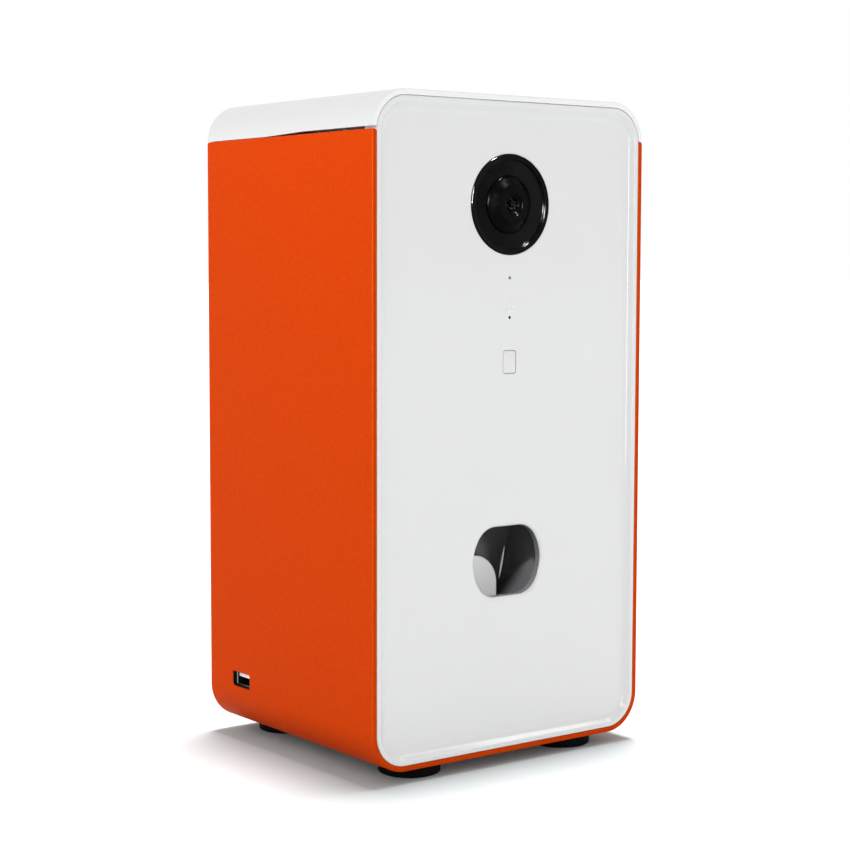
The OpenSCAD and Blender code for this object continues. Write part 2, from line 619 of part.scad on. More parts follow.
outer_sleeve();
top_lid();
lid_seal();
front_panel();
rear_cover();
base_plate();
frame_left();
frame_right();
motor_deck();
treat_hopper();
metering_shield();
metering_tray();
metering_rotor();
rotor_shaft();
rotor_bush();
rotor_gear();
rotor_motor();
rotor_pinion();
drop_chute();
launch_chamber();
paddle_cover();
launch_paddle();
paddle_shaft();
paddle_gear();
paddle_spring();
shaft_clips();
launch_motor();
winder_pinion();
camera_bezel();
camera_barrel();
camera_lens();
camera_board();
camera_ribbon();
pairing_button();
tact_switch();
front_board();
status_led();
light_pipe();
microphone();
main_board();
wifi_module();
speaker();
usb_shell();
usb_tongue();
usb_board();
rubber_feet();
foot_screws();
panel_screws();
rear_screws();
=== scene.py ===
import json
import math

import bmesh
import bpy
from mathutils import Matrix, Vector

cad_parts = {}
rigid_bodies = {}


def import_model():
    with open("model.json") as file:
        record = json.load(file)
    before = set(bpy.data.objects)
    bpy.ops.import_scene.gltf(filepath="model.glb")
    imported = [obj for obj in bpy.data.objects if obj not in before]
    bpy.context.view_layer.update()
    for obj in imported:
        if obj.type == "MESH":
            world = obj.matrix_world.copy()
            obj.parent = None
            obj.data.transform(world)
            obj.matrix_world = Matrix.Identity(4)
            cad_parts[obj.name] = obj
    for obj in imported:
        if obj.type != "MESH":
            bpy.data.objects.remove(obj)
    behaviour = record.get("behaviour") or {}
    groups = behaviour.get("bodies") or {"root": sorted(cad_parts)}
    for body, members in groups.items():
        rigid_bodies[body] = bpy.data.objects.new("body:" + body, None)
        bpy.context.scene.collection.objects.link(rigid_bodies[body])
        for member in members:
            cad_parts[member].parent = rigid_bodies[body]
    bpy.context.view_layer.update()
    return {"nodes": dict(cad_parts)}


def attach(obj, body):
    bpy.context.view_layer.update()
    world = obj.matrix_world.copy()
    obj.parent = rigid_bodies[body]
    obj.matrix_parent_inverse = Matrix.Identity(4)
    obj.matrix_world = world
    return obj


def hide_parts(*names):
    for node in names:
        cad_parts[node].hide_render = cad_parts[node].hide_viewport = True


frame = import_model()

MM = 0.001
scene = bpy.context.scene
NODES = frame["nodes"]


# ------------------------------------------------------------------ mesh help

def piece(name, verts, faces, mat, doubles=1e-7):
    """Closed mesh from points in millimetres."""
    me = bpy.data.meshes.new(name)
    me.from_pydata([(x * MM, y * MM, z * MM) for x, y, z in verts], [], faces)
    bm = bmesh.new()
    bm.from_mesh(me)
    bmesh.ops.remove_doubles(bm, verts=bm.verts, dist=doubles)
    bmesh.ops.recalc_face_normals(bm, faces=bm.faces)
    bm.to_mesh(me)
    bm.free()
    if mat is not None:
        me.materials.append(mat)
    ob = bpy.data.objects.new(name, me)
    scene.collection.objects.link(ob)
    return ob


def loft(rings, closed=False, cap0=True, cap1=True):
    n, m = len(rings[0]), len(rings)
    verts = [p for r in rings for p in r]
    faces = []
    for i in range(m if closed else m - 1):
        a, b = i * n, ((i + 1) % m) * n
        for k in range(n):
            faces.append((a + k, a + (k + 1) % n, b + (k + 1) % n, b + k))
    if not closed:
        if cap0:
            faces.append(tuple(reversed(range(n))))
        if cap1:
            faces.append(tuple(range((m - 1) * n, m * n)))
    return verts, faces


def merge(*parts):
    verts, faces = [], []
    for v, f in parts:
        o = len(verts)
        verts += v
        faces += [tuple(i + o for i in q) for q in f]
    return verts, faces


def fillet(pts, closed=True, n=5):
    """Rounds the corners of a plane outline; pts are (a, b, radius)."""
    out = []
    m = len(pts)
    for i, (x, y, r) in enumerate(pts):
        if r <= 0 or (not closed and i in (0, m - 1)):
            out.append((x, y))
            continue
        p, q = pts[i - 1], pts[(i + 1) % m]
        c = Vector((x, y))
        d1, d2 = Vector(p[:2]) - c, Vector(q[:2]) - c
        l1, l2 = d1.length, d2.length
        d1.normalize()
        d2.normalize()
        half = d1.angle(d2) / 2
        t = min(r / math.tan(half), 0.49 * l1, 0.49 * l2)
        rr = t * math.tan(half)
        o = c + (d1 + d2).normalized() * (rr / math.sin(half))
        va, vb = c + d1 * t - o, c + d2 * t - o
        th = va.angle(vb)
        for k in range(n + 1):
            s = k / n
            v = (va * math.sin((1 - s) * th) + vb * math.sin(s * th)) / math.sin(th)
            out.append((o.x + v.x, o.y + v.y))
    return out


def rr_ring(x0, x1, z0, z1, r, d=0.0, n=14):
    """Rectangle with round corners, pulled in by d."""
    x0, x1, z0, z1, r = x0 + d, x1 - d, z0 + d, z1 - d, max(r - d, 0.02)
    pts = []
    for cx, cz, a0 in ((x1 - r, z1 - r, 0), (x0 + r, z1 - r, 90), (x0 + r, z0 + r, 180), (x1 - r, z0 + r, 270)):
        for k in range(n + 1):
            a = math.radians(a0 + 90 * k / n)
            pts.append((cx + r * math.cos(a), cz + r * math.sin(a)))
    return pts


def circle(cx, cz, r, n=96):
    return [(cx + r * math.cos(2 * math.pi * k / n), cz + r * math.sin(2 * math.pi * k / n)) for k in range(n)]


def along_y(outline, y):
    return [(x, y, z) for x, z in outline]


def along_x(outline, x):
    return [(x, y, z) for y, z in outline]


def along_z(outline, z):
    return [(x, y, z) for x, y in outline]


def turned_y(cx, cz, prof, n=128, closed=True):
    """Body of revolution about an axis along y; prof is (radius, y)."""
    return loft([along_y(circle(cx, cz, r, n), y) for r, y in prof], closed=closed)


def turned_z(cx, cy, prof, n=96, closed=True):
    return loft([along_z(circle(cx, cy, r, n), z) for r, z in prof], closed=closed)


def turned_x(cy, cz, prof, n=64, closed=False):
    return loft([along_x(circle(cy, cz, r, n), x) for r, x in prof], closed=closed)


def bake(ob):
    """Applies the modifiers of ob to its mesh."""
    dg = bpy.context.evaluated_depsgraph_get()
    dg.update()
    me = bpy.data.meshes.new_from_object(ob.evaluated_get(dg))
    old = ob.data
    ob.modifiers.clear()
    ob.data = me
    me.name = ob.name
    bpy.data.meshes.remove(old)
    return ob


def boolean(ob, other, op="DIFFERENCE", keep=False):
    m = ob.modifiers.new("cut", "BOOLEAN")
    m.operation = op
    m.object = other
    m.solver = "EXACT"
    bake(ob)
    if not keep:
        me = other.data
        bpy.data.objects.remove(other)
        bpy.data.meshes.remove(me)
    return ob


def tidy(ob, angle=32.0, weighted=True, planes=()):
    """Smooth shading with sharp edges where the surface turns and round the flat faces of the given planes."""
    bm = bmesh.new()
    bm.from_mesh(ob.data)
    bmesh.ops.dissolve_degenerate(bm, dist=4e-8, edges=bm.edges)
    bm.to_mesh(ob.data)
    bm.free()
    ob.data.shade_smooth()
    ob.data.set_sharp_from_angle(angle=math.radians(angle))
    if planes:
        bm = bmesh.new()
        bm.from_mesh(ob.data)
        bm.faces.ensure_lookup_table()
        flat = []
        for f in bm.faces:
            c = f.calc_center_median()
            flat.append(any(abs(f.normal[a]) > 0.99999 and abs(c[a] - v * MM) < 2e-6 for a, v in planes))
        for e in bm.edges:
            if len(e.link_faces) == 2 and flat[e.link_faces[0].index] != flat[e.link_faces[1].index]:
                e.smooth = False
        bm.to_mesh(ob.data)
        bm.free()
    if weighted:
        w = ob.modifiers.new("weighted", "WEIGHTED_NORMAL")
        w.keep_sharp = True
        w.mode = "FACE_AREA_WITH_ANGLE"
        w.weight = 50
    return ob


def flare(f, y_face, into, n=6, lead=1.0):
    """(extra width, y) of a cutter that rounds the mouth of a hole by f; into is the end of the hole."""
    s = 1 if into > y_face else -1
    out = []
    for k in range(n + 1):
        a = math.radians(7 + 83 * k / n)
        out.append((f * (1 - math.sin(a)), y_face + s * f * (1 - math.cos(a))))
    out.insert(0, (out[0][0], y_face - s * lead))
    out.append((0.0, into))
    return out


# ------------------------------------------------------------------ materials

def _new(name):
    m = bpy.data.materials.new(name)
    m.use_nodes = True
    nt = m.node_tree
    p = nt.nodes["Principled BSDF"]
    return m, nt, p


def _noise(nt, vec, scale, detail=3.0, rough=0.55, dims="3D"):
    n = nt.nodes.new("ShaderNodeTexNoise")
    n.noise_dimensions = dims
    n.inputs["Scale"].default_value = scale
    n.inputs["Detail"].default_value = detail
    n.inputs["Roughness"].default_value = rough
    nt.links.new(vec, n.inputs["Vector"])
    return n.outputs["Fac"]


def _range(nt, fac, lo, hi, a=0.3, b=0.7):
    r = nt.nodes.new("ShaderNodeMapRange")
    r.inputs["From Min"].default_value = a
    r.inputs["From Max"].default_value = b
    r.inputs["To Min"].default_value = lo
    r.inputs["To Max"].default_value = hi
    nt.links.new(fac, r.inputs["Value"])
    return r.outputs["Result"]


def _mix(nt, fac, c1, c2):
    m = nt.nodes.new("ShaderNodeMix")
    m.data_type = "RGBA"
    m.inputs["A"].default_value = (*c1, 1)
    m.inputs["B"].default_value = (*c2, 1)
    nt.links.new(fac, m.inputs["Factor"])
    return m.outputs["Result"]


def surface(name, color, rough=0.4, rough_var=0.05, var=0.04, tint=None, grain=2200.0, bump=0.05, bump_mm=0.02,
            wave=0.0, wave_scale=45.0, spec=0.5, spec_tint=None, metal=0.0, coat=0.0, coat_rough=0.08, ior=1.5,
            sheen=0.0, patch_scale=30.0, mottle=140.0, transmission=0.0, cells=False):
    """Moulded or coated surface: fine grain and slow waviness in the bump, cloudy colour, uneven gloss."""
    m, nt, p = _new(name)
    tc = nt.nodes.new("ShaderNodeTexCoord").outputs["Object"]
    c1 = tuple(max(0.0, c * (1 - var)) for c in color)
    c2 = tuple(min(1.0, c * (1 + var)) for c in color) if tint is None else tint
    cloud = _noise(nt, tc, patch_scale, 4.0, 0.6)
    fine = _noise(nt, tc, grain * 0.6, 2.0, 0.5)
    add = nt.nodes.new("ShaderNodeMath")
    add.operation = "MULTIPLY_ADD"
    nt.links.new(fine, add.inputs[0])
    add.inputs[1].default_value = 0.5
    nt.links.new(_range(nt, cloud, -0.1, 0.6), add.inputs[2])
    nt.links.new(_mix(nt, add.outputs[0], c1, c2), p.inputs["Base Color"])
    worn = _noise(nt, tc, mottle, 3.0, 0.6)
    nt.links.new(_range(nt, worn, max(0.0, rough - rough_var), min(1.0, rough + rough_var)), p.inputs["Roughness"])
    if cells:
        v = nt.nodes.new("ShaderNodeTexVoronoi")
        v.inputs["Scale"].default_value = grain
        nt.links.new(tc, v.inputs["Vector"])
        height = v.outputs["Distance"]
    else:
        height = _noise(nt, tc, grain, 2.0, 0.5)
    b = nt.nodes.new("ShaderNodeBump")
    b.inputs["Strength"].default_value = bump
    b.inputs["Distance"].default_value = bump_mm * MM
    nt.links.new(height, b.inputs["Height"])
    normal = b.outputs["Normal"]
    if wave > 0:
        w = nt.nodes.new("ShaderNodeBump")
        w.inputs["Strength"].default_value = wave
        w.inputs["Distance"].default_value = 0.05 * MM
        nt.links.new(_noise(nt, tc, wave_scale, 2.0, 0.4), w.inputs["Height"])
        nt.links.new(normal, w.inputs["Normal"])
        normal = w.outputs["Normal"]
    nt.links.new(normal, p.inputs["Normal"])
    p.inputs["Metallic"].default_value = metal
    p.inputs["IOR"].default_value = ior
    p.inputs["Specular IOR Level"].default_value = spec
    if spec_tint is not None:
        p.inputs["Specular Tint"].default_value = (*spec_tint, 1)
    p.inputs["Coat Weight"].default_value = coat
    p.inputs["Coat Roughness"].default_value = coat_rough
    p.inputs["Sheen Weight"].default_value = sheen
    p.inputs["Transmission Weight"].default_value = transmission
    return m


def brushed(name, color, rough=0.28, axis=(1, 0, 0), scale=900.0, metal=1.0):
    """Metal with drawn lines along one axis and slight stains."""
    m, nt, p = _new(name)
    tc = nt.nodes.new("ShaderNodeTexCoord").outputs["Object"]
    mp = nt.nodes.new("ShaderNodeMapping")
    mp.inputs["Scale"].default_value = tuple(0.06 if a else 1.0 for a in axis)
    nt.links.new(tc, mp.inputs["Vector"])
    lines = _noise(nt, mp.outputs["Vector"], scale * 3, 3.0, 0.6)
    stain = _noise(nt, tc, 120.0, 4.0, 0.6)
    nt.links.new(_mix(nt, _range(nt, stain, 0.0, 1.0), tuple(c * 0.86 for c in color), color), p.inputs["Base Color"])
    nt.links.new(_range(nt, lines, rough - 0.07, rough + 0.1), p.inputs["Roughness"])
    b = nt.nodes.new("ShaderNodeBump")
    b.inputs["Strength"].default_value = 0.12
    b.inputs["Distance"].default_value = 0.01 * MM
    nt.links.new(lines, b.inputs["Height"])
    nt.links.new(b.outputs["Normal"], p.inputs["Normal"])
    p.inputs["Metallic"].default_value = metal
    return m


ORANGE = surface("moulded_orange", (0.498, 0.0392, 0.0004), rough=0.46, rough_var=0.06, var=0.11, grain=1900.0,
                 bump=0.5, bump_mm=0.04, spec=0.015, spec_tint=(1.0, 0.4, 0.1), patch_scale=620.0, mottle=300.0)
LID_WHITE = surface("satin_white", (0.755, 0.75, 0.75), rough=0.33, rough_var=0.05, var=0.015, grain=2400.0,
                    bump=0.12, bump_mm=0.02, spec=0.45, patch_scale=14.0, mottle=220.0)
PANEL_WHITE = surface("gloss_white", (0.600, 0.594, 0.594), rough=0.12, rough_var=0.035, var=0.012, grain=1500.0,
                      bump=0.03, bump_mm=0.01, wave=0.05, wave_scale=60.0, spec=0.5, patch_scale=12.0,
                      mottle=90.0, coat=0.35, coat_rough=0.04)
# lighter than the panel's white: a painted highlight on the raised arcs over the status light
ARC_HIGHLIGHT_WHITE = surface("arc_painted_highlight_white", (0.660, 0.655, 0.655), rough=0.16, rough_var=0.04, var=0.012, grain=2600.0,
                    bump=0.05, bump_mm=0.01, spec=0.5, patch_scale=60.0, coat=0.2)
BUTTON_WHITE = surface("button_white", (0.600, 0.594, 0.594), rough=0.2, rough_var=0.04, var=0.012, grain=2600.0,
                       bump=0.05, bump_mm=0.01, spec=0.5, patch_scale=60.0, coat=0.2)
REAR_WHITE = surface("rear_white", (0.64, 0.637, 0.637), rough=0.36, rough_var=0.05, var=0.015, grain=2200.0,
                     bump=0.15, bump_mm=0.02, patch_scale=14.0)
BEZEL_BLACK = surface("gloss_black", (0.0026, 0.0026, 0.0028), rough=0.10, rough_var=0.07, var=0.7, grain=700.0,
                      bump=0.05, bump_mm=0.02, wave=0.3, wave_scale=230.0, spec=0.035, patch_scale=90.0, mottle=260.0)
BARREL_BLACK = surface("barrel_black", (0.0022, 0.0022, 0.0023), rough=0.13, rough_var=0.05, var=0.3, grain=2400.0,
                       bump=0.08, bump_mm=0.015, spec=0.014, patch_scale=120.0, mottle=400.0)
IRIS_BLACK = surface("iris_black", (0.002, 0.002, 0.0025), rough=0.35, rough_var=0.1, var=0.4, grain=3000.0,
                     bump=0.1, spec=0.02, patch_scale=300.0)
CHAMBER_DARK = surface("chamber_dark", (0.072, 0.072, 0.075), rough=0.34, rough_var=0.07, var=0.12, grain=1800.0,
                       bump=0.16, bump_mm=0.03, spec=0.45, patch_scale=50.0, mottle=240.0)
# dark grey of the band inside the outlet, which darkens the outlet's wall behind the lip
OUTLET_BAND_GREY = surface("outlet_band_grey", (0.075, 0.075, 0.078), rough=0.3, rough_var=0.06, var=0.08, grain=1800.0,
                     bump=0.12, bump_mm=0.02, spec=0.45, patch_scale=60.0)
# pale colour of the corner bead: a painted highlight for the glint along the trough's corner
HIGHLIGHT_BEAD_WHITE = surface("painted_highlight_bead_white", (0.66, 0.66, 0.665), rough=0.2, rough_var=0.04, var=0.02, grain=2600.0,
                     bump=0.05, bump_mm=0.01, patch_scale=80.0)
PADDLE_GREY = surface("paddle_grey", (0.73, 0.732, 0.736), rough=0.34, rough_var=0.06, var=0.03, grain=2000.0,
                      bump=0.12, bump_mm=0.02, patch_scale=60.0)
FRAME_GREY = surface("frame_grey", (0.20, 0.205, 0.215), rough=0.45, rough_var=0.06, var=0.06, grain=1600.0,
                     bump=0.25, bump_mm=0.03, patch_scale=40.0)
HOPPER_WHITE = surface("hopper_white", (0.72, 0.725, 0.73), rough=0.3, rough_var=0.05, var=0.006, grain=2000.0,
                       bump=0.1, patch_scale=30.0)
ROTOR_ORANGE = surface("rotor_orange", (0.78, 0.20, 0.018), rough=0.4, rough_var=0.06, var=0.05, grain=1800.0,
                       bump=0.2, patch_scale=60.0)
SEAL = surface("seal_silicone", (0.62, 0.62, 0.60), rough=0.55, rough_var=0.08, var=0.05, grain=1800.0, bump=0.2,
               patch_scale=80.0, sheen=0.1)
RUBBER = surface("foot_rubber", (0.0035, 0.0035, 0.0037), rough=0.62, rough_var=0.1, var=0.3, grain=1400.0,
                 bump=0.4, bump_mm=0.05, spec=0.04, patch_scale=90.0, mottle=500.0)
GEAR = surface("gear_cream", (0.66, 0.62, 0.50), rough=0.38, rough_var=0.06, var=0.05, grain=2600.0, bump=0.12,
               patch_scale=90.0)
# black of the tact switch, also used for painted shade on the walls of the power port
SWITCH_AND_SHADE_BLACK = surface("switch_black", (0.008, 0.008, 0.008), rough=0.45, rough_var=0.08, var=0.3, grain=2000.0, bump=0.2,
                 spec=0.12)
SPEAKER = surface("speaker_black", (0.015, 0.015, 0.016), rough=0.6, rough_var=0.1, var=0.3, grain=1300.0, bump=0.5,
                  bump_mm=0.05, cells=True)
PORT_WHITE = surface("port_white", (0.88, 0.88, 0.87), rough=0.32, rough_var=0.05, var=0.03, grain=2600.0, bump=0.1,
                     patch_scale=200.0)
PIPE = surface("pipe_smoke", (0.010, 0.011, 0.012), rough=0.12, rough_var=0.04, var=0.25, grain=2000.0, bump=0.04,
               spec=0.3, patch_scale=300.0)
LED = surface("led_clear", (0.62, 0.62, 0.50), rough=0.16, rough_var=0.05, var=0.06, grain=2000.0, bump=0.04,
              patch_scale=400.0)
RIBBON = surface("ribbon_film", (0.58, 0.34, 0.08), rough=0.3, rough_var=0.06, var=0.1, grain=900.0, bump=0.1,
                 patch_scale=60.0)
STEEL = brushed("steel", (0.62, 0.63, 0.65), 0.26, (1, 0, 0))
PORT_STEEL = brushed("port_steel", (0.50, 0.52, 0.56), 0.3, (1, 0, 0))
STEEL_Z = brushed("steel_turned", (0.62, 0.63, 0.65), 0.24, (0, 0, 1))
MOTOR = brushed("motor_steel", (0.55, 0.56, 0.57), 0.32, (0, 0, 1))
SPRING = brushed("spring_steel", (0.50, 0.51, 0.53), 0.24, (0, 1, 0))
SCREW = brushed("screw_steel", (0.52, 0.53, 0.55), 0.3, (1, 1, 0))
BRASS = brushed("brass", (0.70, 0.50, 0.20), 0.28, (0, 0, 1))
GOLD = brushed("contact_gold", (0.85, 0.62, 0.25), 0.22, (1, 0, 0))


def board_material():
    """Green solder mask with pale tracks and pads."""
    m, nt, p = _new("circuit_board")
    tc = nt.nodes.new("ShaderNodeTexCoord").outputs["Object"]
    br = nt.nodes.new("ShaderNodeTexBrick")
    br.inputs["Scale"].default_value = 420.0
    br.inputs["Mortar Size"].default_value = 0.045
    br.inputs["Color1"].default_value = (0.012, 0.085, 0.035, 1)
    br.inputs["Color2"].default_value = (0.014, 0.100, 0.042, 1)
    br.inputs["Mortar"].default_value = (0.035, 0.19, 0.085, 1)
    mp = nt.nodes.new("ShaderNodeMapping")
    mp.inputs["Rotation"].default_value = (math.radians(90), 0, math.radians(45))
    nt.links.new(tc, mp.inputs["Vector"])
    nt.links.new(mp.outputs["Vector"], br.inputs["Vector"])
    v = nt.nodes.new("ShaderNodeTexVoronoi")
    v.inputs["Scale"].default_value = 360.0
    nt.links.new(tc, v.inputs["Vector"])
    pads = _range(nt, v.outputs["Distance"], 1.0, 0.0, 0.10, 0.14)
    mx = nt.nodes.new("ShaderNodeMix")
    mx.data_type = "RGBA"
    nt.links.new(pads, mx.inputs["Factor"])
    nt.links.new(br.outputs["Color"], mx.inputs["A"])
    mx.inputs["B"].default_value = (0.55, 0.50, 0.38, 1)
    nt.links.new(mx.outputs["Result"], p.inputs["Base Color"])
    nt.links.new(_range(nt, _noise(nt, tc, 300.0), 0.22, 0.4), p.inputs["Roughness"])
    b = nt.nodes.new("ShaderNodeBump")
    b.inputs["Strength"].default_value = 0.3
    b.inputs["Distance"].default_value = 0.03 * MM
    nt.links.new(pads, b.inputs["Height"])
    nt.links.new(b.outputs["Normal"], p.inputs["Normal"])
    return m


def glass_material():
    """Coated lens glass, smoky, with specks of dust in the gloss."""
    m, nt, p = _new("lens_glass")
    tc = nt.nodes.new("ShaderNodeTexCoord").outputs["Object"]
    nt.links.new(_mix(nt, _range(nt, _noise(nt, tc, 500.0), 0.0, 1.0), (0.46, 0.46, 0.48), (0.54, 0.53, 0.55)),
                 p.inputs["Base Color"])
    nt.links.new(_range(nt, _noise(nt, tc, 1500.0), 0.0, 0.04), p.inputs["Roughness"])
    p.inputs["Transmission Weight"].default_value = 1.0
    p.inputs["IOR"].default_value = 1.12
    return m


BOARD = board_material()
GLASS = glass_material()

# ------------------------------------------------------------------ numbers of the CAD, in millimetres

XO, YF, YR = 69.5, -60.5, 60.5
ZB, ZT, R = 5.0, 270.0, 16.0
ST = 2.1
ZS, ZSL = 254.5, 254.3
PX, PZ0, PZ1, PR = 67.25, 7.25, 267.2, 13.75
YFIELD, YBACK = -58.1, -55.6
ZCAM, ZMIC, ZLED, ZBUT, ZOUT = 227.0, 197.8, 181.9, 164.0, 83.2


def ease(t, r):
    """How far a rounded edge of radius r stands back at depth t from its end."""
    return r - math.sqrt(max(r * r - (r - t) ** 2, 0.0)) if t < r else 0.0


def wall_ys(fo, fi, extra=()):
    t = sorted(set([round(fo * (1 - math.cos(math.radians(a))), 4) for a in (0, 15, 30, 45, 60, 75, 90)]
                   + [round(fi * (1 - math.cos(math.radians(a))), 4) for a in (30, 60, 90)]))
    ys = [YF + v for v in t] + [YR - v for v in reversed(t)] + list(extra) + [-40, -20, 0, 20, 40]
    return sorted(ys)


def wall_mesh(rows):
    """rows of (outer points, inner points), joined to a closed shell with paired end caps."""
    n = len(rows[0][0])
    verts, faces = [], []
    for outer, inner in rows:
        verts += list(outer) + list(reversed(inner))
    w = 2 * n
    for i in range(len(rows) - 1):
        for k in range(w):
            faces.append((i * w + k, i * w + (k + 1) % w, (i + 1) * w + (k + 1) % w, (i + 1) * w + k))
    for i in (0, len(rows) - 1):
        for k in range(n - 1):
            faces.append((i * w + k, i * w + k + 1, i * w + w - 2 - k, i * w + w - 1 - k))
    return verts, faces


# ------------------------------------------------------------------ orange sleeve

def build_sleeve():
    fo, fi = 0.55, 0.3
    ys = wall_ys(fo, fi)
    path = []
    for t in (0, 0.04, 0.1, 0.2, 0.3, 0.45, 0.65, 0.9, 1.3):
        path.append(((-XO, ZSL - t), (1, 0), t))
    for z in (230, 190, 150, 110, 70, 40):
        path.append(((-XO, z), (1, 0), 9))
    for k in range(25):
        a = math.radians(180 + 90 * k / 24)
        path.append(((-XO + R + R * math.cos(a), ZB + R + R * math.sin(a)), (-math.cos(a), -math.sin(a)), 9))
    for x in (-30, 0, 30):
        path.append(((x, ZB), (0, 1), 9))
    left = [p for p in path if p[0][0] < -0.001]
    path += [((-p[0][0], p[0][1]), (-p[1][0], p[1][1]), p[2]) for p in reversed(left) if p[0][0] != -30]
    rows = []
    for (x, z), (nx, nz), t in path:
        sy = 1 - ease(t, 1.3) / 60.5
        sd = ease(t, 0.3)
        outer, inner = [], []
        for y in ys:
            e = min(y - YF, YR - y)
            do = max(ease(e, fo), sd)
            di = ST - max(ease(e, fi), sd)
            outer.append((x + nx * do, y * sy, z + nz * do))
            inner.append((x + nx * di, y * sy, z + nz * di))
        rows.append((outer, inner))
    ob = piece("sleeve_shell", *wall_mesh(rows), ORANGE)
    cut = []
    rings = []
    for e, x in flare(0.55, -XO, -66.0):
        rings.append(along_x(rr_ring(36 - 6.8 - e, 36 + 6.8 + e, 26.3 - 3.15 - e, 26.3 + 3.15 + e, 1.0 + e, n=8), x))
    cut.append(loft(rings))
    for x in (-40, 40):
        for y in (-44.8, 44.8):
            cut.append(loft([along_z(circle(x, y, 1.7, 32), z) for z in (4.0, 8.0)]))
    boolean(ob, piece("cutter", *merge(*cut), ORANGE))
    tidy(ob, 30, planes=((0, -XO), (0, XO), (2, ZB)))
    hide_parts("outer_sleeve")
    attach(ob, "body")
    return ob


build_sleeve()


# ------------------------------------------------------------------ lid

def build_lid():
    fo, fi = 0.6, 0.3
    ramps = [-14.5, -13.3, -12.5, -11.5, -9.5, 12.5, 13.8, 14.5, 15.5]
    ys = wall_ys(fo, fi, ramps)

    def relief(y):
        return 0.9 * min(max((14.5 - y) / 27.0, 0.0), 1.0)

    def out_x(z):
        return -(53.5 + math.sqrt(R * R - (z - 254.0) ** 2))

    def in_x(z):
        return -(53.5 + math.sqrt(13.9 ** 2 - (z - 253.8) ** 2))

    def side(depth):
        out = []
        for t, w in ((0, 1), (0.03, 1), (0.08, 1), (0.16, 1), (0.28, 1), (0.5, 1), (1.2, 0.9), (2.4, 0.3), (3.2, 0.0)):
            sd = ease(t, 0.28)
            outer, inner = [], []
            for y in ys:
                e = min(y - YF, YR - y)
                z = ZS + t + w * depth * relief(y)
                xo, xi = out_x(z), in_x(z)
                do = max(ease(e, fo), sd) / ST
                di = 1 - max(ease(e, fi), sd) / ST
                sy = 1 - ease(t, 0.5) / 60.5
                outer.append((xo + (xi - xo) * do, y * sy, z))
                inner.append((xo + (xi - xo) * di, y * sy, z))
            out.append((outer, inner))
        return out

    rows = []
    arc = []
    a0 = math.degrees(math.asin(4.4 / R))
    for k in range(25):
        a = math.radians(180 - a0 - (90 - a0) * k / 24)
        arc.append(((-53.5 + R * math.cos(a), 254.0 + R * math.sin(a)),
                    (-53.5 + 13.9 * math.cos(a), 253.8 + 13.9 * math.sin(a))))
    for x in (-27, 0):
        arc.append(((x, ZT), (x, 267.7)))
    for (ox, oz), (ix, iz) in arc:
        outer, inner = [], []
        for y in ys:
            e = min(y - YF, YR - y)
            th = math.hypot(ix - ox, iz - oz)
            do, di = ease(e, fo) / th, 1 - ease(e, fi) / th
            outer.append((ox + (ix - ox) * do, y, oz + (iz - oz) * do))
            inner.append((ox + (ix - ox) * di, y, oz + (iz - oz) * di))
        rows.append((outer, inner))
    mirror = [([(-x, y, z) for x, y, z in o], [(-x, y, z) for x, y, z in i]) for o, i in side(0) + rows[:-1]]
    rows = side(1) + rows + list(reversed(mirror))
    ob = piece("lid_shell", *wall_mesh(rows), LID_WHITE)
    # plug with the groove for its seal
    prof = fillet([(2.8, 246, 0.5), (2.8, 248, 0.1), (3.6, 248, 0.1), (3.6, 250.4, 0.1), (2.8, 250.4, 0.1),
                   (2.8, 268.2, 0), (4.8, 268.2, 0), (4.8, 246, 0.5)], n=3)
    plug = piece("plug", *loft([along_z(rr_ring(-58, 58, -34, 45, 8.8, d, n=10), z) for d, z in prof], closed=True),
                 LID_WHITE)
    boolean(ob, plug, "UNION")
    tidy(ob, 30)
    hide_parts("top_lid")
    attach(ob, "lid")
    return ob


build_lid()


# ------------------------------------------------------------------ front panel

def outlet_ring(e, n=16, m=28):
    bx, bz = 6.04, 4.1
    a = math.degrees(math.atan2(bz, bx))
    pts = []

    def arc(cx, cz, r, s, t, k):
        for i in range(k + 1):
            g = math.radians(s + (t - s) * i / k)
            pts.append((cx + r * math.cos(g), ZOUT + cz + r * math.sin(g)))
    arc(0, 0, 17.8 + e, -a, a, m)
    arc(bx, bz, 10.5 + e, a, 90, n)
    arc(-bx, bz, 10.5 + e, 90, 180 - a, n)
    arc(0, 0, 17.8 + e, 180 - a, 180 + a, m)
    arc(-bx, -bz, 10.5 + e, 180 + a, 270, n)
    arc(bx, -bz, 10.5 + e, 270, 360 - a, n)
    out = []
    for p in pts:
        if not out or math.hypot(p[0] - out[-1][0], p[1] - out[-1][1]) > 1e-4:
            out.append(p)
    if math.hypot(out[0][0] - out[-1][0], out[0][1] - out[-1][1]) < 1e-4:
        out.pop()
    return out


def arc_bar(cx, cz, r, w, y, a0=45, a1=135, n=31):
    """Round bar along an arc, with round ends."""
    rings = []
    k = 10
    steps = []
    for i in range(5):
        q = math.radians(90 * i / 4)
        steps.append((a0 - math.degrees(w / r) * (1 - math.sin(q)) + math.degrees(w / r) , max(0.06, math.sin(q))))
    for i in range(1, n):
        steps.append((a0 + math.degrees(w / r) + (a1 - a0 - 2 * math.degrees(w / r)) * i / n, 1.0))
    for i in range(5):
        q = math.radians(90 - 90 * i / 4)
        steps.append((a1 - math.degrees(w / r) + math.degrees(w / r) * (1 - math.sin(q)), max(0.06, math.sin(q))))
    for a, s in steps:
        g = math.radians(a)
        ring = []
        for j in range(k):
            h = 2 * math.pi * j / k
            rr = r + w * s * math.cos(h)
            ring.append((cx + rr * math.cos(g), y + w * s * math.sin(h), cz + rr * math.sin(g)))
        rings.append(ring)
    return loft(rings)


